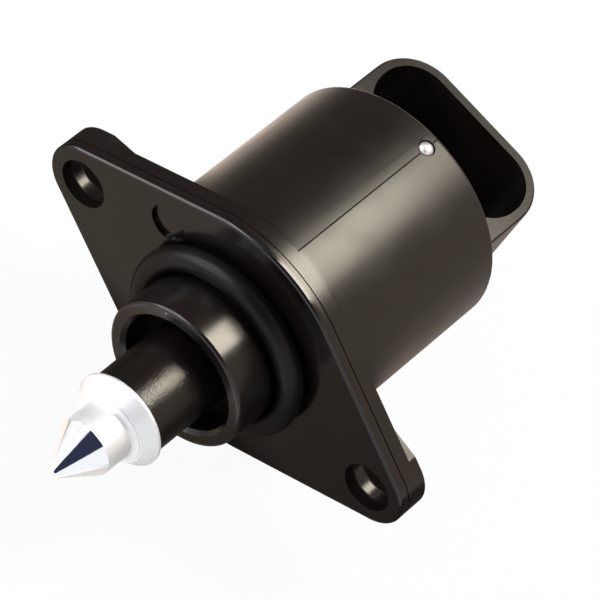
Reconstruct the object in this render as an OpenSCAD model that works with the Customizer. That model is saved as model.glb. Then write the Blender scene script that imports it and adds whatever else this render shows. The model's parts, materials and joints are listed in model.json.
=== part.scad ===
// Idle air control valve: a linear stepper motor that moves a tapered pintle.
// The origin is the centre of the flange's sealing face, and the valve axis is Y. The pintle
// points to -Y and the motor lies to +Y. X joins the two flange holes. The plug enters along -Z.
// Most pieces are turned about the axis: they are drawn with their own Z along +Y.

/* [Mounting flange] */
// Distance between the centres of the two flange holes
hole_spacing = 50; // [46:0.5:56]
// Diameter of the flange holes
hole_d = 6.6; // [5.4:0.1:7]
// Thickness of the flange plate
flange_t = 3.4; // [3:0.1:4.4]
// Radius of the flange's middle lobe
lobe_r = 18.5; // [17.8:0.1:20]
// Radius of the flange's ears
ear_r = 5.3; // [4.9:0.1:6.5]
// Rounding of the flange's front edge
flange_edge = 0.5; // [0.3:0.1:0.8]
// Height of the bosses behind the ears
boss_h = 1.15; // [0.6:0.05:1.8]
// Distance of a boss's sides from the hole's centre
boss_half_w = 5.54; // [5:0.02:6]
// Angle by which a boss widens towards the body, on each side
boss_angle = 9.6; // [6:0.2:14]
// Distance of the mould's parting line behind the sealing face
parting_y = 1.4; // [1.2:0.1:1.8]
// Width and depth of the parting line
parting_w = 0.16; // [0.1:0.02:0.24]
// Radius of the ejector pin's mark
ejector_r = 2.6; // [1.5:0.1:2.8]
// Depth of the ejector pin's mark
ejector_depth = 0.5; // [0.2:0.1:0.8]
// Distance of the ejector pin's mark from the axis
ejector_pitch_r = 15.6; // [15.4:0.1:16]
// Angle of the ejector pin's mark above the line of the holes
ejector_angle = 29.5; // [26:0.5:33]

/* [Spigot and seal] */
// Diameter of the spigot
spigot_d = 20.4; // [20:0.1:21]
// Length of the spigot in front of the flange
spigot_len = 9.1; // [8:0.1:11]
// Diameter of the bore through the spigot
bore_d = 16.2; // [15.8:0.1:16.6]
// Rounding of the spigot's mouth
mouth_round = 0.5; // [0.2:0.1:0.7]
// Diameter of the seal ring's cord
seal_cord = 3.3; // [2.8:0.1:3.5]
// How much smaller the spigot's radius is under the seal ring
seal_seat = 0.3; // [0.2:0.05:0.5]
// Depth of the recess round the seal ring in the sealing face
seal_recess = 0.2; // [0.1:0.05:0.3]

/* [Motor housing] */
// Outer diameter of the round housing
can_d = 33.4; // [33:0.1:34.4]
// Wall of the housing round the stator
can_wall = 2.9; // [2.7:0.1:3.1]
// Wall of the housing round the rear cover
rim_wall = 1.4; // [1.2:0.1:1.6]
// Rounding of the housing's rear edge
rim_round = 0.4; // [0.2:0.1:0.6]
// Wall of the boss round the bearing
boss_wall = 2.6; // [2:0.1:3]
// Thickness of the floor behind the flange, between the cooling pockets and the sealing face
floor_t = 4.6; // [4.4:0.1:6]
// Number of ribs between the pockets
rib_count = 6; // [4:1:8]
// Thickness of the ribs
rib_t = 1.6; // [1.2:0.1:2.2]
// Diameter of the locking ball
ball_d = 2.15; // [1.9:0.05:2.3]
// How far the locking ball stands proud
ball_proud = 0.4; // [0.1:0.05:0.5]
// Depth of the locking ball's hole in the rear cover's skirt
ball_hole_depth = 1.2; // [0.8:0.1:1.4]
// Width of the mould's seam along the housing
seam_w = 0.2; // [0.1:0.02:0.3]
// Depth of the mould's seam
seam_depth = 0.14; // [0.06:0.02:0.2]
// Distance of the locking ball from the housing's rear edge
ball_inset = 2.3; // [2:0.1:2.6]

/* [Rear cover and socket] */
// Thickness of the cover's disc
disc_t = 2.05; // [1.8:0.05:2.6]
// Length of the cover's skirt in front of its disc
skirt_len = 2.15; // [1.8:0.05:2.6]
// Half width of the socket's shroud
shroud_half_w = 13; // [12.4:0.1:13.4]
// Depth of the shroud behind the housing
shroud_depth = 14.05; // [13:0.05:16]
// Height of the shroud's rim above the valve axis
shroud_top = 8.2; // [7:0.1:9]
// Radius of the shroud's far corners
shroud_corner = 6.6; // [6.4:0.1:7.2]
// Wall of the shroud
shroud_wall = 1.27; // [1.1:0.01:1.6]
// Wall between the housing and the socket
near_wall = 2.0; // [1.8:0.05:2.6]
// Depth of the socket
socket_depth = 13.2; // [11:0.1:14]
// Rounding of the shroud's rim
shroud_round = 0.35; // [0.2:0.05:0.5]
// Width of the latch ramp behind the shroud
latch_w = 5; // [3:0.5:8]
// How far the latch ramp stands proud
latch_h = 1.2; // [0.6:0.1:1.6]
// Length of the latch ramp
latch_len = 2.6; // [2:0.1:4]
// Distance of the latch ramp below the shroud's rim
latch_drop = 2.4; // [1.5:0.1:4]

/* [Terminals] */
// Distance between the terminals
pin_pitch = 4; // [3.6:0.1:4.1]
// Width of a terminal
pin_w = 1.6; // [1.2:0.1:1.7]
// Thickness of a terminal
pin_t = 0.6; // [0.5:0.05:0.65]
// Height of a terminal above the socket's floor
pin_h = 5; // [4:0.1:7]

/* [Plunger and pintle] */
// Diameter of the plunger
plunger_d = 11.5; // [11:0.1:11.8]
// Travel of the plunger inwards
travel_in = 8; // [7:0.5:9]
// Travel of the plunger outwards
travel_out = 1.5; // [1:0.1:2.5]
// Gap between the pintle and the spigot when the plunger is in
pintle_clear = 1.3; // [0.8:0.1:2]
// Diameter of the pintle's rim
pintle_d = 12.7; // [12.2:0.1:13.4]
// Width of the pintle's rim
pintle_rim_w = 0.5; // [0.4:0.1:1]
// Length of the pintle's bevel
bevel_len = 1.6; // [1.2:0.1:2]
// Length of the pintle's neck
neck_len = 4.4; // [3.8:0.1:5]
// Radius of the pintle's neck
neck_r = 3.85; // [3.5:0.05:4.1]
// Length of the pintle's cone
cone_len = 5.8; // [4:0.1:7]
// Radius of the pintle's blunt tip
tip_r = 0.8; // [0.5:0.05:1]
// Width of the plunger's two guide lugs
lug_w = 2.5; // [2:0.1:3]
// Length of the plunger's two guide lugs
lug_len = 2.2; // [1.8:0.1:3]
// How far the guide lugs stand out of the plunger
lug_h = 1.35; // [1:0.05:1.45]

/* [Guide bush] */
// Distance of the guide bush behind the spigot's mouth
guide_inset = 3.9; // [3:0.1:5]
// Length of the plain guide in front of the lugs' slots
guide_land = 1.7; // [1.4:0.1:2.6]

/* [Screw and rotor] */
// Diameter over the lead screw's thread
screw_d = 5.9; // [5.6:0.1:6.2]
// Diameter of the screw's nose inside the pintle
nose_d = 4; // [3:0.1:4.4]
// Depth of the screw's nose inside the pintle
nose_len = 3.2; // [2.4:0.1:3.8]
// Length of the screw behind the bearing's front face
screw_reach = 9.3; // [8.6:0.1:10]
// Outer diameter of the rotor's magnet
rotor_d = 16.4; // [16:0.1:16.8]
// Wall of the rotor's magnet
magnet_wall = 2.2; // [1.8:0.1:2.4]
// Diameter of the rotor's rear journal
journal_d = 8.4; // [8:0.1:9]
// Wall of the rear bush
bush_wall = 1.75; // [1.2:0.05:2]
// Length of the rear bush
bush_len = 2.6; // [2.2:0.05:2.7]

/* [Front bearing] */
// Bore of the ball bearing
bearing_bore = 9; // [8.6:0.1:9.4]
// Outer diameter of the ball bearing
bearing_od = 14; // [13.8:0.1:14.4]
// Width of the ball bearing
bearing_w = 3; // [2.6:0.1:3.4]
// Number of balls in the bearing
bearing_ball_count = 9; // [7:1:10]
// Diameter of the bearing's balls
bearing_ball_d = 1.5; // [1.4:0.05:1.6]
// Thickness of the lip in front of the bearing
lip_t = 1.3; // [1:0.1:1.8]

/* [Stator] */
// Length of one of the two stator halves
phase_len = 7.9; // [7:0.1:8.6]
// Thickness of the stator's sheet steel
sheet_t = 0.7; // [0.5:0.05:0.8]
// Number of claws on each plate
claw_count = 6; // [5:1:6]
// Gap between the claws and the rotor
air_gap = 0.3; // [0.2:0.05:0.4]
// Width of a claw at its root
claw_root_w = 4; // [3.6:0.1:4.4]
// Width of a claw at its tip
claw_tip_w = 2.2; // [1.8:0.1:2.6]
// Wall of the bobbins
bobbin_wall = 0.7; // [0.5:0.05:0.9]
// How far the coils stay below the bobbins' edges
coil_inset = 0.3; // [0.1:0.1:0.6]

/* [Clearances] */
// Running clearance on the radius
run_gap = 0.06; // [0.03:0.01:0.09]
// Clearance on the radius between pieces that are pressed or glued together
fit_gap = 0.05; // [0.02:0.01:0.08]
// Gap at the end of the plunger's travel
stop_gap = 0.2; // [0.1:0.05:0.4]
// Axial gap between still pieces
end_gap = 0.05; // [0.02:0.01:0.1]

/* [Hidden] */
$fn = 96;
big = 100;
eps = 0.01;

// Places along the axis, from the pintle to the rear cover
guide_front = -spigot_len + guide_inset;
slot_front = guide_front + guide_land;
lug_front = slot_front + stop_gap + travel_out;
lug_rear = lug_front + lug_len;
head_rear = lug_rear + stop_gap;
guide_rear = head_rear + travel_in + stop_gap;
bearing_front = guide_rear + lip_t;
bearing_rear = bearing_front + bearing_w;
stack_front = bearing_rear;
stack_rear = stack_front + 2 * phase_len;
disc_front = stack_rear + end_gap;
can_len = disc_front + disc_t;
skirt_front = disc_front - skirt_len;
ball_y = can_len - ball_inset;
pintle_back = -spigot_len - travel_in - pintle_clear;
screw_rear = bearing_front + screw_reach;

// Radii from the housing inwards
can_r = can_d / 2;
cavity_r = can_r - can_wall;
rim_bore_r = can_r - rim_wall;
cup_r = cavity_r - fit_gap;
bobbin_r = cup_r - sheet_t - fit_gap;
coil_r = bobbin_r - coil_inset;

// Radii from the axis outwards
thread_bore_r = screw_d / 2 + run_gap;
magnet_bore_r = rotor_d / 2 - magnet_wall;
claw_r = rotor_d / 2 + air_gap;
spool_r = claw_r + sheet_t + fit_gap;
winding_r = spool_r + bobbin_wall + fit_gap;
bearing_seat_r = bearing_od / 2 + fit_gap;
bearing_boss_r = bearing_od / 2 + boss_wall;
bush_bore_r = journal_d / 2 + run_gap;
bush_r = bush_bore_r + bush_wall;
guide_bore_r = plunger_d / 2 + run_gap;
lip_bore_r = (bearing_bore + bearing_od) / 4 - 1.2;
guide_r = bore_d / 2 - fit_gap;
lug_r = plunger_d / 2 + lug_h;

// The rotor, between the bearing and the rear bush
magnet_inset = 0.8;
magnet_front = stack_front + magnet_inset;
magnet_rear = stack_rear - magnet_inset;
collar_t = 0.6;
collar_r = (magnet_bore_r + rotor_d / 2) / 2;
rotor_shoulder_r = bearing_bore / 2 + 0.7;
journal_rear = disc_front + bush_len - 0.35;

// The front bearing's races
race_r = (bearing_bore + bearing_od) / 4;
race_half = 0.55;
ring_gap = 0.02;
bearing_mid = bearing_front + bearing_w / 2;
cage_half = race_half - 0.2;
cage_half_w = 1;

// The socket, behind the housing
socket_near = can_len + near_wall;
socket_far = can_len + shroud_depth - shroud_wall;
socket_half_w = shroud_half_w - shroud_wall;
socket_corner = shroud_corner - shroud_wall - 0.2;
socket_floor = shroud_top - socket_depth;
shroud_limit_r = can_r - rim_round;
base_depth = shroud_depth - 4;
latch_top_depth = 0.3 * latch_h;

// The terminals, which run along the motor and turn up into the socket
pin_x = [-1.5 * pin_pitch, -0.5 * pin_pitch, 0.5 * pin_pitch, 1.5 * pin_pitch];
pin_run_r = (cavity_r + rim_bore_r) / 2 - 0.05;
pin_y = (socket_near + socket_far) / 2;
post_w = pin_w + 0.8;
post_t = 1.4;
post_h = 2.6;
channel_half_w = 1.5 * pin_pitch + post_w / 2 + 0.3;

// The pintle's small forms: how much the bevel narrows along its length, the step in front of
// it, the neck's concave rounding and the rim's chamfer
bevel_slope = 0.88;
bevel_step = 0.15;
neck_round = 0.85;
rim_edge = 0.2;

// The stator: the angle between claws that face each other, the gap in front of a claw's tip,
// and the half widths of the windows for the terminal posts
claw_step = 180 / claw_count;
claw_end_gap = 0.6;
outer_window = 1.5 * pin_pitch + post_w / 2 + fit_gap;
inner_window = 0.5 * pin_pitch + post_w / 2 + fit_gap;

// The seal ring, which sits on the floor of its recess, and the wave washer
seal_r = spigot_d / 2 - seal_seat + fit_gap + seal_cord / 2;
seal_front = seal_recess - end_gap - seal_cord;
recess_r = seal_r + seal_cord / 2 + 0.1;
washer_t = 0.2;
washer_waves = 3;
washer_steps = 60;
washer_in_r = journal_d / 2 + 0.25;
washer_out_r = magnet_bore_r - 0.1;
washer_rise = (disc_front - magnet_rear - washer_t) / 2 - end_gap;

// The straight sides between the flange's lobe and its ears. They lie a little inside the
// exact tangents, so that they cross the round stretches instead of only touching them.
ear_x = hole_spacing / 2;
side_angle = asin((lobe_r - ear_r) / ear_x);
side_len = ear_x * cos(side_angle);
side_inset = 0.01;
side_overlap = 1;

moulded = "#3a3633";
sheet_steel = "#8d9094";
bright_steel = "#c8cacc";
brass = "#c9a24a";

// Turns a shape drawn about its own Z so that this axis runs along +Y, from y
module along_axis(y = 0) {
    translate([0, y, 0]) rotate([-90, 0, 0]) children();
}

// A ring about the valve axis from y0 to y1
module ring(r_in, r_out, y0, y1) {
    along_axis(y0) difference() {
        cylinder(h = y1 - y0, r = r_out);
        translate([0, 0, -1]) cylinder(h = y1 - y0 + 2, r = r_in);
    }
}

// A solid disc about the valve axis from y0 to y1
module disc(r, y0, y1) {
    along_axis(y0) cylinder(h = y1 - y0, r = r);
}

// The flange's outline: a lobe and two ears, joined by straight sides
module flange_outline() {
    lobe_side_r = lobe_r - side_inset;
    ear_side_r = ear_r - side_inset;
    circle(r = lobe_r);
    for (side = [-1, 1]) {
        translate([side * ear_x, 0]) circle(r = ear_r);
        polygon([
            [side * lobe_side_r * sin(side_angle), lobe_side_r * cos(side_angle)],
            [side * (ear_x + ear_side_r * sin(side_angle)), ear_side_r * cos(side_angle)],
            [side * (ear_x + ear_side_r * sin(side_angle)), -ear_side_r * cos(side_angle)],
            [side * lobe_side_r * sin(side_angle), -lobe_side_r * cos(side_angle)]
        ]);
    }
}

// Sweeps a 2-D profile round the flange's outline. The profile's X is the distance outwards
// from the outline, and its Y the distance behind the sealing face.
module round_outline() {
    ear_sweep = 180 - 2 * side_angle;
    lobe_sweep = 2 * side_angle;
    for (side = [0, 180]) {
        rotate(side) translate([ear_x, 0, 0]) rotate(-ear_sweep / 2)
            rotate_extrude(angle = ear_sweep) translate([ear_r, 0]) children();
        rotate(side + 90 - lobe_sweep / 2)
            rotate_extrude(angle = lobe_sweep) translate([lobe_r, 0]) children();
    }
    for (a = [0, 180], m = [0, 1])
        rotate(a) mirror([0, m, 0]) rotate(90 - side_angle)
            translate([lobe_r - side_inset, side_overlap, 0])
                rotate([90, 0, 0]) linear_extrude(side_len + 2 * side_overlap) children();
}

// What a rounded edge of radius r takes off a corner at the profile's origin. The arc meets
// both faces at a slight angle.
module edge_cut(r) {
    inset = 0.97 * r;
    difference() {
        translate([-r, -1]) square([r + 1, r + 1]);
        translate([-inset, inset]) circle(r = r, $fn = 48);
    }
}

// The flange plate, with its sealing face at Z 0
module flange_plate() {
    difference() {
        linear_extrude(flange_t) flange_outline();
        round_outline() edge_cut(flange_edge);
        round_outline() translate([-parting_w, parting_y]) square([1, parting_w]);
    }
}

// A boss behind an ear. It keeps the ear's rounding, and widens less than the plate does
// towards the body.
module ear_boss() {
    slope = tan(boss_angle);
    half_w = boss_half_w / cos(boss_angle);
    narrow = half_w - 2 * ear_r * slope;
    wide = half_w + ear_x * slope;
    translate([0, 0, flange_t - eps]) linear_extrude(boss_h + eps) intersection() {
        flange_outline();
        translate([ear_x, 0])
            polygon([[-ear_x, -wide], [2 * ear_r, -narrow], [2 * ear_r, narrow], [-ear_x, wide]]);
    }
}

// The outside of the round housing, as a profile turned about the axis
module turned_can() {
    rotate_extrude() {
        square([can_r, can_len - rim_round]);
        square([can_r - rim_round, can_len]);
        translate([can_r - rim_round, can_len - rim_round]) circle(r = rim_round);
    }
}

// The outside of the spigot, with the seal ring's seat at its root
module turned_spigot() {
    spigot_r = spigot_d / 2;
    seat_r = spigot_r - seal_seat;
    seat_front = seal_front - seal_seat;
    rotate_extrude() {
        translate([0, seat_front]) square([seat_r, seal_recess + 1 - seat_front]);
        translate([0, -spigot_len]) square([spigot_r - mouth_round, spigot_len]);
        translate([0, -spigot_len + mouth_round])
            square([spigot_r, seat_front + spigot_len - mouth_round]);
        translate([spigot_r - mouth_round, -spigot_len + mouth_round]) circle(r = mouth_round);
    }
}

// The spaces inside the housing, as a profile turned about the axis
module turned_inside() {
    mouth_r = bore_d / 2;
    rotate_extrude() {
        translate([0, -spigot_len - 1]) square([mouth_r, guide_rear + spigot_len + 1]);
        translate([0, -spigot_len - mouth_round])
            polygon([[0, 0], [mouth_r + 2 * mouth_round, 0], [mouth_r, 2 * mouth_round],
                [0, 2 * mouth_round]]);
        square([lip_bore_r, bearing_front + eps]);
        translate([0, bearing_front]) square([bearing_seat_r, bearing_w + eps]);
        translate([0, stack_front]) square([cavity_r, can_len]);
        translate([0, skirt_front - end_gap]) square([rim_bore_r, can_len]);
    }
}

// The pockets that keep the moulding's walls even, in front of the stator
module pockets() {
    difference() {
        translate([0, 0, floor_t]) difference() {
            cylinder(h = stack_front - floor_t + eps, r = cavity_r);
            translate([0, 0, -1]) cylinder(h = stack_front, r = bearing_boss_r);
        }
        for (i = [0 : rib_count - 1])
            rotate((i + 0.5) * 360 / rib_count) translate([0, -rib_t / 2, 0])
                cube([can_r, rib_t, stack_front + 1]);
    }
}

// The channel for the terminals, along the housing's lower side
module terminal_channel() {
    intersection() {
        disc(rim_bore_r, stack_front + 1, can_len + 1);
        translate([-channel_half_w, 0, -can_r]) cube([2 * channel_half_w, big, can_r]);
    }
}

// The radial hole for the locking ball
module ball_hole() {
    translate([0, ball_y, rim_bore_r - ball_hole_depth])
        cylinder(h = can_r, r = ball_d / 2 + fit_gap);
}

module housing() {
    color(moulded) difference() {
        along_axis() difference() {
            union() {
                difference() {
                    union() {
                        flange_plate();
                        for (side = [0, 180]) rotate(side) ear_boss();
                        turned_can();
                    }
                    translate([0, 0, -1]) cylinder(h = seal_recess + 1, r = recess_r);
                    rotate(ejector_angle + 180) translate([ejector_pitch_r, 0, -1])
                        cylinder(h = ejector_depth + 1, r = ejector_r);
                }
                turned_spigot();
            }
            turned_inside();
            pockets();
            for (side = [-1, 1])
                translate([side * ear_x, 0, -1]) cylinder(h = flange_t + boss_h + 2, r = hole_d / 2);
        }
        terminal_channel();
        ball_hole();
        translate([-seam_w / 2, flange_t + 1, can_r - seam_depth]) cube([seam_w, can_len, 1]);
    }
}

// A rectangle seen along Z, with corner radius r at its far side only
module shroud_plan(half_w, y0, y1, r) {
    translate([-half_w, y0]) square([2 * half_w, y1 - y0 - r]);
    translate([-half_w + r, y0]) square([2 * (half_w - r), y1 - y0]);
    for (side = [-1, 1]) translate([side * (half_w - r), y1 - r]) circle(r = r);
}

// A rectangle seen along Z, with four rounded corners
module socket_plan(half_w, y0, y1, r) {
    translate([-half_w + r, y0]) square([2 * (half_w - r), y1 - y0]);
    translate([-half_w, y0 + r]) square([2 * half_w, y1 - y0 - 2 * r]);
    for (side = [-1, 1], y = [y0 + r, y1 - r])
        translate([side * (half_w - r), y]) circle(r = r);
}

// The shroud and the block below it, kept inside the housing's outline from behind
module shroud_block() {
    intersection() {
        translate([0, 0, -can_r]) linear_extrude(can_r + shroud_top)
            shroud_plan(shroud_half_w, can_len, can_len + shroud_depth, shroud_corner);
        disc(shroud_limit_r, can_len, can_len + shroud_depth);
        rotate([90, 0, 90]) translate([0, 0, -can_r]) linear_extrude(2 * can_r)
            polygon([
                [can_len, -can_r], [can_len + base_depth, -can_r],
                [can_len + shroud_depth, socket_floor], [can_len + shroud_depth, shroud_top],
                [can_len, shroud_top]
            ]);
    }
}

// What the rounding of the shroud's rim takes off its outer edge
module shroud_rim_cut() {
    far = can_len + shroud_depth;
    corner_x = shroud_half_w - shroud_corner;
    translate([0, 0, shroud_top]) mirror([0, 0, 1]) {
        for (side = [0, 1]) mirror([side, 0, 0]) {
            translate([corner_x, far - shroud_corner, 0]) rotate_extrude(angle = 90)
                translate([shroud_corner, 0]) edge_cut(shroud_round);
            translate([shroud_half_w, far - shroud_corner, 0]) rotate([90, 0, 0])
                linear_extrude(shroud_depth) edge_cut(shroud_round);
        }
        translate([-corner_x, far, 0]) rotate(90) rotate([90, 0, 0])
            linear_extrude(2 * corner_x) edge_cut(shroud_round);
    }
}

// The ramp behind the shroud that a plug's latch snaps over
module latch_ramp() {
    latch_top = shroud_top - latch_drop;
    latch_low = latch_top - latch_len;
    translate([-latch_w / 2, can_len + shroud_depth, 0]) rotate([90, 0, 90])
        linear_extrude(latch_w)
            polygon([[-1, latch_top], [latch_top_depth, latch_top],
                [latch_h, latch_top - latch_h], [latch_h, latch_low], [-1, latch_low]]);
}

// The bent path of terminal i, grown by gap on every side
module terminal_path(i, gap) {
    x = pin_x[i];
    run_z = -sqrt(pin_run_r * pin_run_r - x * x);
    half_w = pin_w / 2 + gap;
    half_t = pin_t / 2 + gap;
    front = terminal_front(i);
    translate([x - half_w, front - gap, run_z - half_t])
        cube([2 * half_w, pin_y + half_t - front + gap, 2 * half_t]);
    translate([x - half_w, pin_y - half_t, run_z - half_t])
        cube([2 * half_w, 2 * half_t, socket_floor - run_z + half_t + eps]);
}

// The front end of terminal i, on the post of its own bobbin
function terminal_front(i) =
    (i == 0 || i == 3 ? stack_front : stack_front + phase_len) + phase_len - sheet_t - post_t;

// One terminal, with a tapered tip in the socket
module terminal(i) {
    tip = 0.8;
    color(brass) {
        terminal_path(i, 0);
        translate([pin_x[i] - pin_w / 2, pin_y, socket_floor]) rotate([90, 0, 90])
            linear_extrude(pin_w)
                polygon([[-pin_t / 2, 0], [pin_t / 2, 0], [pin_t / 2, pin_h - tip],
                    [pin_t / 6, pin_h], [-pin_t / 6, pin_h], [-pin_t / 2, pin_h - tip]]);
    }
}

module rear_cover() {
    color(moulded) difference() {
        union() {
            disc(rim_bore_r - fit_gap, skirt_front, can_len + eps);
            difference() {
                shroud_block();
                shroud_rim_cut();
            }
            latch_ramp();
        }
        disc(cavity_r + fit_gap, skirt_front - 1, disc_front);
        disc(bush_r + fit_gap, disc_front - 1, disc_front + bush_len + end_gap);
        translate([0, 0, socket_floor]) linear_extrude(socket_depth + 1)
            socket_plan(socket_half_w, socket_near, socket_far, socket_corner);
        translate([-channel_half_w, skirt_front - 1, -can_r])
            cube([2 * channel_half_w, skirt_len + 1, can_r]);
        for (i = [0 : 3]) terminal_path(i, end_gap);
        ball_hole();
    }
}

module seal_ring() {
    color("#161515") along_axis(seal_front + seal_cord / 2)
        rotate_extrude() translate([seal_r, 0]) circle(d = seal_cord, $fn = 64);
}

module lock_ball() {
    color(bright_steel) translate([0, ball_y, can_r + ball_proud - ball_d / 2])
        sphere(d = ball_d, $fn = 48);
}

module guide_bush() {
    color("#1c1a19") difference() {
        ring(guide_bore_r, guide_r, guide_front, guide_rear - end_gap);
        translate([-lug_r - run_gap, slot_front, -lug_w / 2 - run_gap])
            cube([2 * (lug_r + run_gap), guide_rear - slot_front + 1, lug_w + 2 * run_gap]);
    }
}

module plunger() {
    edge = 0.3;
    color("#2b2522") difference() {
        union() {
            along_axis() rotate_extrude() {
                translate([0, pintle_back]) square([plunger_d / 2 - edge, head_rear - pintle_back]);
                translate([0, pintle_back + edge])
                    square([plunger_d / 2, head_rear - pintle_back - 2 * edge]);
                for (y = [pintle_back + edge, head_rear - edge])
                    translate([plunger_d / 2 - edge, y]) circle(r = edge, $fn = 48);
            }
            intersection() {
                disc(lug_r, lug_front, lug_rear);
                translate([-big / 2, lug_front, -lug_w / 2]) cube([big, lug_len, lug_w]);
            }
        }
        disc(screw_d / 2 + fit_gap, pintle_back - 1, head_rear + 1);
    }
}

module lead_screw() {
    lead_in = 0.6;
    color(bright_steel) along_axis() rotate_extrude() {
        polygon([
            [0, pintle_back - nose_len], [nose_d / 2 - 0.3, pintle_back - nose_len],
            [nose_d / 2, pintle_back - nose_len + 0.3], [nose_d / 2, pintle_back + end_gap],
            [screw_d / 2, pintle_back + end_gap], [screw_d / 2, screw_rear - lead_in],
            [screw_d / 2 - lead_in, screw_rear], [0, screw_rear]
        ]);
    }
}

// The pintle is turned from bar: a rim, a bevel, a concave neck and a cone with a blunt tip
module pintle() {
    rim_r = pintle_d / 2;
    bevel_r = rim_r - bevel_slope * bevel_len;
    bevel_end = pintle_back - pintle_rim_w - bevel_len;
    neck_end = bevel_end - neck_len;
    tip_y = neck_end - cone_len + tip_r;
    color("#dcdedf") along_axis() difference() {
        rotate_extrude() polygon(concat(
            [
                [0, pintle_back], [rim_r - rim_edge, pintle_back],
                [rim_r, pintle_back - rim_edge], [rim_r, pintle_back - pintle_rim_w],
                [bevel_r, bevel_end], [bevel_r - bevel_step, bevel_end]
            ],
            [for (a = [0 : 15 : 90])
                [neck_r + neck_round * (1 - sin(a)), bevel_end - bevel_step - neck_round * (1 - cos(a))]],
            [[neck_r, neck_end]],
            [for (a = [30 : 10 : 80]) [tip_r * cos(a), tip_y - tip_r * sin(a)]],
            [[0, tip_y - tip_r * sin(80)]]
        ));
        translate([0, 0, pintle_back - nose_len - end_gap])
            cylinder(h = nose_len + 1, r = nose_d / 2 + fit_gap);
    }
}

module rotor_hub() {
    core_r = magnet_bore_r - fit_gap;
    color("#4a4d52") along_axis() rotate_extrude()
        polygon([
            [thread_bore_r, bearing_front + stop_gap],
            [bearing_bore / 2 - fit_gap, bearing_front + stop_gap],
            [bearing_bore / 2 - fit_gap, bearing_rear], [rotor_shoulder_r, bearing_rear],
            [rotor_shoulder_r, magnet_front - collar_t], [collar_r, magnet_front - collar_t],
            [collar_r, magnet_front], [core_r, magnet_front], [core_r, magnet_rear],
            [journal_d / 2, magnet_rear], [journal_d / 2, journal_rear],
            [thread_bore_r, journal_rear]
        ]);
}

module rotor_magnet() {
    color("#3c3d40") ring(magnet_bore_r, rotor_d / 2, magnet_front, magnet_rear);
}

// The groove that the bearing's balls run in
module race_groove() {
    along_axis(bearing_mid) rotate_extrude() translate([race_r, 0])
        circle(d = bearing_ball_d + 2 * ring_gap, $fn = 48);
}

module bearing_inner_ring() {
    color(bright_steel) difference() {
        ring(bearing_bore / 2, race_r - race_half, bearing_front + ring_gap, bearing_rear);
        race_groove();
    }
}

module bearing_outer_ring() {
    color(bright_steel) difference() {
        ring(race_r + race_half, bearing_od / 2, bearing_front, bearing_rear - ring_gap);
        race_groove();
    }
}

// A copy of the children at each ball's place round the bearing
module at_balls() {
    for (i = [0 : bearing_ball_count - 1])
        rotate([0, i * 360 / bearing_ball_count, 0]) translate([race_r, bearing_mid, 0]) children();
}

module bearing_balls() {
    color("#e4e6e8") at_balls() sphere(d = bearing_ball_d, $fn = 32);
}

module bearing_cage() {
    color("#7a5a34") difference() {
        ring(race_r - cage_half, race_r + cage_half, bearing_mid - cage_half_w,
            bearing_mid + cage_half_w);
        at_balls() rotate([0, 90, 0])
            cylinder(h = 4 * race_half, d = bearing_ball_d + 2 * ring_gap, center = true);
    }
}

module rear_bush() {
    color("#a8793c") ring(bush_bore_r, bush_r, disc_front, disc_front + bush_len);
}

// The washer's height over its mean plane at step k
function wave(k) = washer_rise * cos(k * washer_waves * 360 / washer_steps);

// A flat spring ring bent into waves, which presses the rotor towards its bearing
module wave_washer() {
    mean = (disc_front + magnet_rear) / 2;
    corners = [
        for (k = [0 : washer_steps - 1], c = [0 : 3])
            let (a = k * 360 / washer_steps)
            let (r = c == 0 || c == 3 ? washer_in_r : washer_out_r)
            let (y = mean + wave(k) + (c < 2 ? -washer_t / 2 : washer_t / 2))
            [r * cos(a), y, r * sin(a)]
    ];
    sides = [
        for (k = [0 : washer_steps - 1], c = [0 : 3])
            let (n = (k + 1) % washer_steps)
            let (d = (c + 1) % 4)
            for (t = [[4 * k + c, 4 * k + d, 4 * n + d], [4 * k + c, 4 * n + d, 4 * n + c]]) t
    ];
    color(bright_steel) polyhedron(corners, sides);
}

// A star whose rim becomes the ring of claws that points to +Z once its middle is bored out
module claw_star() {
    claw_len = phase_len - sheet_t - claw_end_gap;
    intersection() {
        cylinder(h = claw_len, r = claw_r + sheet_t);
        for (i = [0 : claw_count - 1])
            rotate(i * 360 / claw_count) rotate([90, 0, 90]) linear_extrude(claw_r + 2)
                polygon([[-claw_root_w / 2, 0], [claw_root_w / 2, 0],
                    [claw_tip_w / 2, claw_len], [-claw_tip_w / 2, claw_len]]);
    }
}

// An annular plate with claws, which are turned about the axis by an angle
module claw_plate(turn) {
    difference() {
        union() {
            cylinder(h = sheet_t, r = cup_r);
            rotate(turn) claw_star();
        }
        translate([0, 0, -1]) cylinder(h = phase_len + 2, r = claw_r);
    }
}

// A claw plate with an outer wall, which has a window for the terminal posts
module claw_cup(turn, window_half_w) {
    claw_plate(turn);
    difference() {
        cylinder(h = phase_len - sheet_t, r = cup_r);
        translate([0, 0, -1]) cylinder(h = phase_len + 2, r = cup_r - sheet_t);
        translate([-window_half_w, 0, sheet_t]) cube([2 * window_half_w, can_r, phase_len]);
    }
}

module stator_cup_front() {
    color(sheet_steel) along_axis(stack_front) claw_cup(0, outer_window);
}

module stator_plate_front() {
    color(sheet_steel) along_axis(stack_front + phase_len) mirror([0, 0, 1])
        claw_plate(claw_step);
}

module stator_plate_rear() {
    color(sheet_steel) along_axis(stack_front + phase_len) claw_plate(1.5 * claw_step);
}

module stator_cup_rear() {
    color(sheet_steel) along_axis(stack_rear) mirror([0, 0, 1])
        claw_cup(claw_step / 2, inner_window);
}

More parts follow.
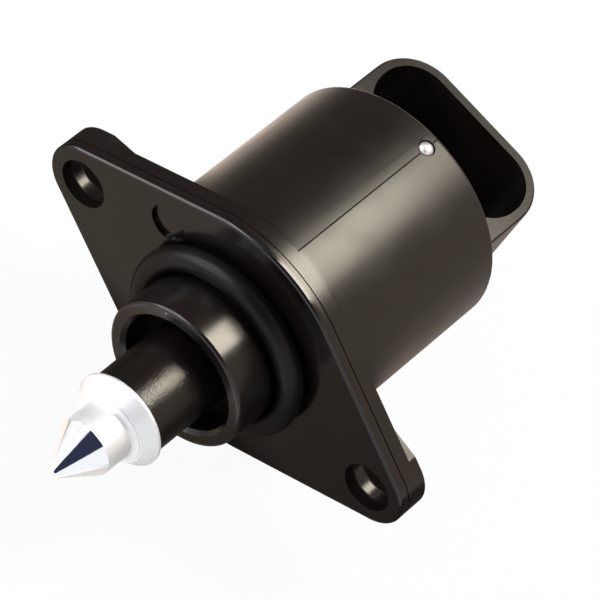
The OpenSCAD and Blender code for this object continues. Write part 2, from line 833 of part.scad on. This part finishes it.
// A bobbin between y0 and y1, with a post under each of its two terminals
module bobbin(y0, y1, pins) {
    color("#cfc9bd") {
        ring(spool_r, spool_r + bobbin_wall, y0, y1);
        ring(spool_r, bobbin_r, y0, y0 + bobbin_wall);
        ring(spool_r, bobbin_r, y1 - bobbin_wall, y1);
        for (i = pins) {
            post_z = -sqrt(pin_run_r * pin_run_r - pin_x[i] * pin_x[i]) + pin_t / 2 + end_gap;
            difference() {
                translate([pin_x[i] - post_w / 2, y1 - post_t, post_z])
                    cube([post_w, post_t, post_h]);
                disc(spool_r + bobbin_wall / 2, y0 - 1, y1 + 1);
            }
        }
    }
}

module bobbin_front() {
    bobbin(stack_front + sheet_t + end_gap, stack_front + phase_len - sheet_t - end_gap, [0, 3]);
}

module bobbin_rear() {
    bobbin(stack_front + phase_len + sheet_t + end_gap, stack_rear - sheet_t - end_gap, [1, 2]);
}

// A winding that fills a bobbin between its two sides
module coil(y0, y1) {
    color("#b4602c") difference() {
        ring(winding_r, coil_r, y0 + bobbin_wall + fit_gap, y1 - bobbin_wall - fit_gap);
        for (x = pin_x) translate([x - post_w / 2 - fit_gap, y1 - post_t - fit_gap, -can_r])
            cube([post_w + 2 * fit_gap, post_t + 1, can_r - claw_r]);
    }
}

module coil_front() {
    coil(stack_front + sheet_t + end_gap, stack_front + phase_len - sheet_t - end_gap);
}

module coil_rear() {
    coil(stack_front + phase_len + sheet_t + end_gap, stack_rear - sheet_t - end_gap);
}

housing();
rear_cover();
seal_ring();
lock_ball();
guide_bush();
plunger();
lead_screw();
pintle();
rotor_hub();
rotor_magnet();
bearing_inner_ring();
bearing_outer_ring();
bearing_cage();
bearing_balls();
rear_bush();
wave_washer();
stator_cup_front();
stator_plate_front();
stator_plate_rear();
stator_cup_rear();
bobbin_front();
bobbin_rear();
coil_front();
coil_rear();
terminal(0);  // terminal_1
terminal(1);  // terminal_2
terminal(2);  // terminal_3
terminal(3);  // terminal_4
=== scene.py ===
# Looks of the idle air control valve: materials, studio light, floor and camera.
# Lengths are in metres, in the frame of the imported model: the valve axis is Y, the pintle points
# to -Y, the flange's holes lie along X and the plug socket opens to +Z.

import json
import math

import bpy
from mathutils import Matrix, Vector


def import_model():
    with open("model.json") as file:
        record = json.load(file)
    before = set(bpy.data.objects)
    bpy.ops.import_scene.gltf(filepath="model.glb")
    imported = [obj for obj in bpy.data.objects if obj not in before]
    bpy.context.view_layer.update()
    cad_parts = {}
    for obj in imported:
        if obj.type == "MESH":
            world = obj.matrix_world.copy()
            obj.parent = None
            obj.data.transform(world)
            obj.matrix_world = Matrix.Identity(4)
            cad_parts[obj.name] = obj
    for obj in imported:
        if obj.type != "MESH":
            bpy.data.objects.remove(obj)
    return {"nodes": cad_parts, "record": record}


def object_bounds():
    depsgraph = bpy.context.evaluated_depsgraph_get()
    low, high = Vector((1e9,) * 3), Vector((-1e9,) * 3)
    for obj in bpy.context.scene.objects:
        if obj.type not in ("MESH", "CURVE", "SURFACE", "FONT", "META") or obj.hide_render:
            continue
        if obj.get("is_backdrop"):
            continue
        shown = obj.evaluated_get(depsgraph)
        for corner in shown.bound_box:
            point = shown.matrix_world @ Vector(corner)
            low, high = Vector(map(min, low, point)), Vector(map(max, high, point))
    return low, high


WHITE = (1.0, 1.0, 1.0)

# The camera of the photograph: where its axis passes the valve, and from where it looks
CAMERA_AIM = Vector((0.00313, 0.00804, 0.00508))
CAMERA_AZIMUTH = 10.43
CAMERA_ELEVATION = 55.29
CAMERA_ROLL = 38.26
CAMERA_DISTANCE = 0.49635
CAMERA_LENS_MM = 248.92
CAMERA_CLIP = 0.01
SENSOR_MM = 36.0

# The studio: a pale floor below the valve, and a soft world
FLOOR_SIZE = 4.0
FLOOR_SHADOW_SHARE = 0.06
FLOOR_COLOUR = (0.85, 0.83, 0.81)
WORLD_COLOUR = (1.0, 0.97, 0.94)
WORLD_STRENGTH = 0.4

# What shines in the valve: a dark rear wall, paler to the right, a white front wall, and a dark
# gap in that wall. REAR_SPAN is a span of a direction's X, FRONT_EDGE of its Y, and GAP_EDGE of
# the cosine of its angle to the gap's middle.
REAR_COLOUR = (1.0, 0.8, 0.66)
REAR_LEFT = 0.16
REAR_RIGHT = 0.7
REAR_SPAN = (-0.6, 0.6)
FRONT_EDGE = (0.1, -0.15)
GAP_DIRECTION = (0.14, -0.48, 0.866)
GAP_EDGE = (0.83, 0.87)
GAP_COLOUR = (0.03, 0.035, 0.07)

# The floor's painted reflection, which only gloss sees, as levels of one warm colour at places
# along
# X: in front of the flange and behind it, where a bright patch lies at the left. A painted shadow
# of the flange lies between, and far in front the floor is white. The pairs of places along Y are
# each the edge of a zone.
FLOOR_SHINE = (1.0, 0.83, 0.69)
FLOOR_FRONT = ((-0.01, 0.52), (0.008, 0.25), (0.03, 0.15))
FLOOR_REAR = ((-0.2, 0.15), (-0.07, 0.35), (-0.026, 2.2), (0.01, 0.6))
FLOOR_SHADE = 0.07
FLOOR_SPAN = (-0.2, 0.05)
SHADOW_FRONT = (-0.007, -0.001)
SHADOW_REAR = (0.0105, 0.014)
SHADOW_SLANT = 0.5
WHITE_FRONT = (-0.026, -0.036)

# The lamps, by azimuth and elevation in degrees, distance, width and height, and power in watts.
# Two soft boxes light the surfaces: the main one stands behind the motor, a small one at the left.
SOFT_BOXES = {
    "main": {"towards": (167, 55), "distance": 0.9, "size": (0.30, 0.75), "power": 8.5},
    "left": {"towards": (-60, 24), "distance": 0.8, "size": (0.25, 0.25), "power": 3.0},
}
# The other panels only shine in the gloss: a near one runs along the housing's top and fades to its
# rear, a wide one picks out the flange's front edge and the spigot's mouth, and a small card below
# the pintle keeps its cone pale.
SHINES = {
    "main shine": {"towards": (167, 55), "distance": 0.15, "size": (0.072, 0.050), "power": 0.20,
                   "aim": (0, -0.012, 0), "colour": (1.0, 0.92, 0.76)},
    "left shine": {"towards": (-60, 24), "distance": 0.8, "size": (0.6, 0.6), "power": 6.0},
    "cone card": {"towards": (0, -90), "distance": 0.008, "size": (0.044, 0.014), "power": 0.0011,
                  "aim": (0, -0.0255, 0), "colour": (1.0, 0.97, 0.95)},
}

# The usual span of a noise texture's values, and the broad noise that makes plastic uneven
NOISE_SPAN = (0.3, 0.7)
UNEVEN_SCALE = 180.0
UNEVEN_TINT = (0.86, 1.14)
UNEVEN_GLOSS = 0.03
GRAIN_HEIGHT = 0.0001

# Specks of dust lie in cells: their number to a metre, a speck's radius in a cell, and the share
# of cells without a speck
DUST_CELLS = 210.0
DUST_RADIUS = 0.025
DUST_FREE = 0.68
DUST_COLOUR = (0.55, 0.52, 0.47)

# Where the can behind the flange begins, and the seam along its top
CAN_Y = 0.0045
SEAM_Z = 0.0162
SEAM_HALF = 0.0001
SEAM_BLUR = 0.0001

# The flange's holes, whose walls get painted shade: dull, with almost no reflection, apart from a
# band half way in. The walls' mask fades between the two distances of HOLE_EDGE outside the hole's
# radius.
HOLE_X = 0.025
HOLE_R = 0.0033
HOLE_EDGE = (0.0001, 0.00005)
HOLE_BRIGHT_Y = 0.0024
HOLE_BRIGHT_HALF = 0.0006
HOLE_BRIGHT_BLUR = 0.0004
HOLE_SHADE_SPECULAR = 0.02
DULL_ROUGHNESS = 0.85

# The roughness of the housing along Y, as (start, width of the change, roughness from there on):
# the flange's face is smooth, its side less so, and the can is dull
HOUSING_ZONES = ((-0.0008, 0.0005, 0.13), (0.0005, 0.0005, 0.27), (CAN_Y, 0.001, 0.34))

# Turned metal: how uneven its gloss is, and its tool marks. The pintle's cone in front of
# POLISH_Y is polished and bare, and the rest is satin.
METAL_UNEVEN_SCALE = 400.0
METAL_UNEVEN_GLOSS = 0.05
METAL_LEAST_ROUGHNESS = 0.02
MARK_WIDTH = 0.00015
MARK_HEIGHT = 0.00005
MARK_STRENGTH = 0.05
POLISH_Y = -0.0249
POLISHED_ROUGHNESS = 0.05

# The looks of the material slots
PLASTICS = {
    "moulded_plastic": {"colour": (0.006, 0.0045, 0.004), "roughness": 0.22, "dust": True,
                        "zones": HOUSING_ZONES},
    "seal_rubber": {"colour": (0.005, 0.0045, 0.004), "roughness": 0.36, "specular": 0.2},
    "plunger_plastic": {"colour": (0.006, 0.0045, 0.004), "roughness": 0.24, "specular": 0.45,
                        "grain": 0.00028, "grain_depth": 0.45},
    "guide_plastic": {"colour": (0.004, 0.004, 0.004), "roughness": 0.8, "specular": 0.1},
    "hub_plastic": {"colour": (0.06, 0.065, 0.075), "roughness": 0.4},
    "magnet": {"colour": (0.045, 0.045, 0.048), "roughness": 0.6, "grain_depth": 0.2},
    "cage_polymer": {"colour": (0.28, 0.16, 0.07), "roughness": 0.4},
    "bobbin_plastic": {"colour": (0.6, 0.57, 0.5), "roughness": 0.5},
}
METALS = {
    "turned_aluminium": {"colour": (0.91, 0.93, 0.96), "roughness": 0.45, "metallic": 0.55,
                         "polish_y": POLISH_Y},
    "bright_steel": {"colour": (0.85, 0.84, 0.83), "roughness": 0.42, "metallic": 0.8},
    "sheet_steel": {"colour": (0.42, 0.43, 0.44), "roughness": 0.35},
    "bronze": {"colour": (0.55, 0.35, 0.16), "roughness": 0.3},
    "enamelled_copper": {"colour": (0.62, 0.24, 0.1), "roughness": 0.3},
    "brass": {"colour": (0.78, 0.58, 0.25), "roughness": 0.2},
}


def direction(azimuth, elevation):
    """Unit vector from the valve, with azimuth 0 at -Y and 90 at +X."""
    a, e = math.radians(azimuth), math.radians(elevation)
    return Vector((math.cos(e) * math.sin(a), -math.cos(e) * math.cos(a), math.sin(e)))


def look_at(obj, place, target, roll=0.0):
    """Puts an object at a place and turns its own -Z to a target."""
    turn = (target - place).to_track_quat("-Z", "Y").to_matrix().to_4x4()
    rolled = Matrix.Rotation(math.radians(roll), 4, "Z")
    obj.matrix_world = Matrix.Translation(place) @ turn @ rolled


def rgba(colour, level=1.0):
    return (*[level * c for c in colour], 1.0)


class Nodes:
    """A short way to build a node tree. Each input takes a value or another node's output."""

    def __init__(self, tree):
        tree.nodes.clear()
        self.tree = tree

    def add(self, kind, settings=None, **inputs):
        """Adds a node with its settings and inputs, whose names have _ for a space."""
        node = self.tree.nodes.new(kind)
        for name, value in (settings or {}).items():
            setattr(node, name, value)
        for name, value in inputs.items():
            self.feed(node, name.replace("_", " "), value)
        return node

    def feed(self, node, key, value):
        """Links an output to a node's input, or sets the input's value."""
        socket = node.inputs[key]
        if isinstance(value, bpy.types.NodeSocket):
            self.tree.links.new(value, socket)
        else:
            socket.default_value = value

    def feed_all(self, node, values):
        """Feeds several inputs by their places, and gives the node back."""
        for key, value in values.items():
            self.feed(node, key, value)
        return node

    def calc(self, operation, *values):
        """One step of arithmetic."""
        node = self.add("ShaderNodeMath", {"operation": operation})
        return self.feed_all(node, dict(enumerate(values))).outputs[0]

    def spread(self, value, span, result=(0.0, 1.0)):
        """Maps a span of values to a span of results, evenly."""
        return self.add("ShaderNodeMapRange", Value=value, From_Min=span[0], From_Max=span[1],
                        To_Min=result[0], To_Max=result[1]).outputs[0]

    def smooth(self, value, start, end):
        """0 at start and 1 at end, with a smooth way between them."""
        return self.add("ShaderNodeMapRange", {"interpolation_type": "SMOOTHSTEP"}, Value=value,
                        From_Min=start, From_Max=end).outputs[0]

    def blend(self, share, low, high):
        """A colour from low to high by the share."""
        node = self.add("ShaderNodeMix", {"data_type": "RGBA"})
        return self.feed_all(node, {0: share, 6: low, 7: high}).outputs[2]

    def between(self, share, low, high):
        """A number from low to high by the share."""
        node = self.add("ShaderNodeMix", {"data_type": "FLOAT"})
        return self.feed_all(node, {0: share, 2: low, 3: high}).outputs[0]

    def shader_mix(self, share, low, high):
        """A shader from low to high by the share."""
        node = self.add("ShaderNodeMixShader")
        return self.feed_all(node, {0: share, 1: low, 2: high}).outputs[0]

    def place(self, output="Object"):
        """The place on the surface or in the world, and its X, Y and Z."""
        where = self.add("ShaderNodeTexCoord").outputs[output]
        split = self.add("ShaderNodeSeparateXYZ", Vector=where)
        return where, [split.outputs[axis] for axis in "XYZ"]


def new_material(name):
    """A new material, and its empty node tree."""
    material = bpy.data.materials.new(name)
    material.use_nodes = True
    return material, Nodes(material.node_tree)


def add_camera():
    data = bpy.data.cameras.new("camera")
    data.sensor_width = SENSOR_MM
    data.lens = CAMERA_LENS_MM
    data.clip_start = CAMERA_CLIP
    camera = bpy.data.objects.new("camera", data)
    bpy.context.collection.objects.link(camera)
    place = CAMERA_AIM + CAMERA_DISTANCE * direction(CAMERA_AZIMUTH, CAMERA_ELEVATION)
    look_at(camera, place, CAMERA_AIM, CAMERA_ROLL)
    bpy.context.scene.camera = camera


def floor_ramp(n, x, stops):
    """The floor's shine, with its level running through stops of (place, level) along X."""
    low, high = FLOOR_SPAN
    node = n.add("ShaderNodeValToRGB", Fac=n.spread(x, FLOOR_SPAN))
    elements = node.color_ramp.elements
    while len(elements) < len(stops):
        elements.new(0.5)
    for element, (place, level) in zip(elements, stops):
        element.position = (place - low) / (high - low)
        element.color = rgba(FLOOR_SHINE, level)
    return node.outputs["Color"]


def floor_shine(n):
    """The floor's painted reflection that gloss sees, with a painted shadow of the flange."""
    _, (x, y, _) = n.place()
    slanted = n.calc("SUBTRACT", y, n.calc("MULTIPLY", n.calc("ABSOLUTE", x), SHADOW_SLANT))
    seen = n.blend(n.smooth(y, *SHADOW_FRONT), floor_ramp(n, x, FLOOR_FRONT),
                   rgba(FLOOR_SHINE, FLOOR_SHADE))
    seen = n.blend(n.smooth(slanted, *SHADOW_REAR), seen, floor_ramp(n, x, FLOOR_REAR))
    return n.blend(n.smooth(y, *WHITE_FRONT), seen, rgba(WHITE))


def add_floor(height):
    """A pale floor that the camera sees as white, with the valve's faint shadow on it; gloss sees a
    painted reflection.
    """
    half = FLOOR_SIZE / 2
    mesh = bpy.data.meshes.new("floor")
    corners = [(-half, -half, height), (half, -half, height), (half, half, height),
               (-half, half, height)]
    mesh.from_pydata(corners, [], [(0, 1, 2, 3)])
    floor = bpy.data.objects.new("floor", mesh)
    bpy.context.collection.objects.link(floor)
    material, n = new_material("floor")
    paint = n.add("ShaderNodeBsdfDiffuse", Color=rgba(FLOOR_COLOUR))
    white = n.add("ShaderNodeEmission", Color=rgba(WHITE), Strength=1.0)
    # Gloss sees the floor glowing with a painted reflection and a painted shadow of the flange.
    shining = n.add("ShaderNodeEmission", Color=floor_shine(n), Strength=1.0)
    path = n.add("ShaderNodeLightPath")
    white_share = n.calc("MULTIPLY", path.outputs["Is Camera Ray"], 1.0 - FLOOR_SHADOW_SHARE)
    shader = n.shader_mix(path.outputs["Is Glossy Ray"], paint.outputs[0], shining.outputs[0])
    shader = n.shader_mix(white_share, shader, white.outputs[0])
    n.add("ShaderNodeOutputMaterial", Surface=shader)
    mesh.materials.append(material)
    floor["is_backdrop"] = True


def add_world():
    """Soft light from all sides. The camera sees it as white, and gloss sees the studio's walls."""
    world = bpy.data.worlds.new("studio")
    bpy.context.scene.world = world
    world.use_nodes = True
    n = Nodes(world.node_tree)
    where, (x, y, _) = n.place("Generated")
    rear = n.blend(n.spread(x, REAR_SPAN), rgba(REAR_COLOUR, REAR_LEFT),
                   rgba(REAR_COLOUR, REAR_RIGHT))
    walls = n.blend(n.smooth(y, *FRONT_EDGE), rear, rgba(WHITE))
    towards = n.add("ShaderNodeVectorMath", {"operation": "DOT_PRODUCT"})
    n.feed_all(towards, {0: where, 1: GAP_DIRECTION})
    gap = n.smooth(towards.outputs["Value"], *GAP_EDGE)
    shining = n.add("ShaderNodeBackground", Color=n.blend(gap, walls, rgba(GAP_COLOUR)),
                    Strength=1.0)
    light = n.add("ShaderNodeBackground", Color=rgba(WORLD_COLOUR), Strength=WORLD_STRENGTH)
    white = n.add("ShaderNodeBackground", Color=rgba(WHITE), Strength=1.0)
    path = n.add("ShaderNodeLightPath")
    shader = n.shader_mix(path.outputs["Is Glossy Ray"], light.outputs[0], shining.outputs[0])
    shader = n.shader_mix(path.outputs["Is Camera Ray"], shader, white.outputs[0])
    n.add("ShaderNodeOutputWorld", Surface=shader)


def add_lamp(name, lights, towards, distance, size, power, aim=(0, 0, 0), colour=WHITE):
    """An area lamp that the camera doesn't see. It lights the surfaces or shines in their gloss."""
    data = bpy.data.lights.new(name, "AREA")
    data.shape = "RECTANGLE"
    data.size, data.size_y = size
    data.energy = power
    data.color = colour
    lamp = bpy.data.objects.new(name, data)
    lamp.visible_camera = False
    lamp.visible_diffuse = lights
    lamp.visible_glossy = not lights
    bpy.context.collection.objects.link(lamp)
    look_at(lamp, Vector(aim) + distance * direction(*towards), Vector(aim))


def add_lamps():
    for name, facts in SOFT_BOXES.items():
        add_lamp(name, True, **facts)
    for name, facts in SHINES.items():
        add_lamp(name, False, **facts)


def dusted(n, where, base):
    """A base colour with a few specks of dust on it."""
    cells = n.add("ShaderNodeTexVoronoi", {"feature": "F1"}, Vector=where, Scale=DUST_CELLS)
    chance = n.add("ShaderNodeSeparateColor", Color=cells.outputs["Color"]).outputs[0]
    speck = n.calc("MULTIPLY", n.calc("LESS_THAN", cells.outputs["Distance"], DUST_RADIUS),
                   n.calc("GREATER_THAN", chance, DUST_FREE))
    return n.blend(speck, base, rgba(DUST_COLOUR))


def seam_mask(n, x, y, z):
    """1 on the seam along the can's top."""
    mask = n.calc("LESS_THAN", n.calc("ABSOLUTE", x), SEAM_HALF)
    mask = n.calc("MULTIPLY", mask, n.smooth(z, SEAM_Z - SEAM_BLUR, SEAM_Z))
    return n.calc("MULTIPLY", mask, n.smooth(y, CAN_Y, CAN_Y + SEAM_BLUR))


def hole_shade_mask(n, x, y, z):
    """1 where the walls of the flange's holes get painted shade, apart from their bright band."""
    across = n.add("ShaderNodeCombineXYZ", X=n.calc("ABSOLUTE", x), Z=z).outputs[0]
    radius = n.add("ShaderNodeVectorMath", {"operation": "DISTANCE"})
    n.feed_all(radius, {0: across, 1: (HOLE_X, 0.0, 0.0)})
    wall = n.smooth(radius.outputs["Value"], *[HOLE_R + edge for edge in HOLE_EDGE])
    away = n.calc("ABSOLUTE", n.calc("SUBTRACT", y, HOLE_BRIGHT_Y))
    dark = n.smooth(away, HOLE_BRIGHT_HALF, HOLE_BRIGHT_HALF + HOLE_BRIGHT_BLUR)
    return n.calc("MULTIPLY", wall, dark)


def moulded_plastic(name, colour, roughness, specular=0.5, grain=0.00025, grain_depth=0.04,
                    dust=False, zones=()):
    """Moulded plastic: a fine grain, a slightly uneven tint and gloss, and specks of dust if asked.

    With zones its roughness changes along Y, it is dull in the seam along the can's top, and the
    flange's holes get painted shade: dull, with almost no reflection, apart from a band half way
    in."""
    material, n = new_material(name)
    where, (x, y, z) = n.place()
    fine = n.add("ShaderNodeTexNoise", Vector=where, Scale=1.0 / grain, Detail=3.0)
    broad = n.add("ShaderNodeTexNoise", Vector=where, Scale=UNEVEN_SCALE, Detail=4.0).outputs["Fac"]
    tint = n.add("ShaderNodeMix", {"data_type": "RGBA", "blend_type": "MULTIPLY"})
    n.feed_all(tint, {0: 1.0, 6: rgba(colour), 7: n.spread(broad, NOISE_SPAN, UNEVEN_TINT)})
    base = tint.outputs[2]
    if dust:
        base = dusted(n, where, base)
    gloss = n.spread(broad, NOISE_SPAN, (roughness - UNEVEN_GLOSS, roughness + UNEVEN_GLOSS))
    if zones:
        for start, width, level in zones:
            reached = n.smooth(y, start, start + width)
            gloss = n.calc("ADD", gloss, n.calc("MULTIPLY", reached, level - roughness))
            roughness = level
        # Painted shade in the flange's holes: their walls turn rough and lose almost all
        # reflection.
        hole = hole_shade_mask(n, x, y, z)
        dull = n.calc("MAXIMUM", seam_mask(n, x, y, z), hole)
        gloss = n.between(dull, gloss, DULL_ROUGHNESS)
        specular = n.spread(hole, (0.0, 1.0), (specular, HOLE_SHADE_SPECULAR))
    bump = n.add("ShaderNodeBump", Strength=grain_depth, Distance=GRAIN_HEIGHT,
                 Height=fine.outputs["Fac"])
    shader = n.add("ShaderNodeBsdfPrincipled", Base_Color=base, Roughness=gloss,
                   Normal=bump.outputs[0], Specular_IOR_Level=specular)
    n.add("ShaderNodeOutputMaterial", Surface=shader.outputs[0])
    return material


def turned_metal(name, colour, roughness, metallic=1.0, polish_y=None):
    """Turned metal, with fine tool marks round the valve axis. In front of polish_y it is bare and
    polished."""
    material, n = new_material(name)
    where, (_, y, _) = n.place()
    marks = n.add("ShaderNodeTexNoise", {"noise_dimensions": "1D"}, W=y, Scale=1.0 / MARK_WIDTH,
                  Detail=2.0)
    uneven = n.add("ShaderNodeTexNoise", Vector=where, Scale=METAL_UNEVEN_SCALE, Detail=3.0)
    least = max(roughness - METAL_UNEVEN_GLOSS, METAL_LEAST_ROUGHNESS)
    gloss = n.spread(uneven.outputs["Fac"], NOISE_SPAN, (least, roughness + METAL_UNEVEN_GLOSS))
    if polish_y is not None:
        polished = n.calc("LESS_THAN", y, polish_y)
        gloss = n.between(polished, gloss, POLISHED_ROUGHNESS)
        metallic = n.spread(polished, (0.0, 1.0), (metallic, 1.0))
    bump = n.add("ShaderNodeBump", Strength=MARK_STRENGTH, Distance=MARK_HEIGHT,
                 Height=marks.outputs["Fac"])
    shader = n.add("ShaderNodeBsdfPrincipled", Base_Color=rgba(colour), Metallic=metallic,
                   Roughness=gloss, Normal=bump.outputs[0])
    n.add("ShaderNodeOutputMaterial", Surface=shader.outputs[0])
    return material


def dress_nodes(frame):
    """Gives every node of the frame the material of its slot."""
    materials = {name: moulded_plastic(name, **look) for name, look in PLASTICS.items()}
    materials.update({name: turned_metal(name, **look) for name, look in METALS.items()})
    for part in frame["record"]["subparts"]:
        obj = frame["nodes"][part["node"]]
        obj.data.materials.clear()
        obj.data.materials.append(materials[part["material_slot"]])


def main():
    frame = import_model()
    cad_low, cad_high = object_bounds()
    bpy.context.scene.view_settings.view_transform = "Standard"
    add_camera()
    add_world()
    add_lamps()
    add_floor(cad_low.z)
    dress_nodes(frame)


main()
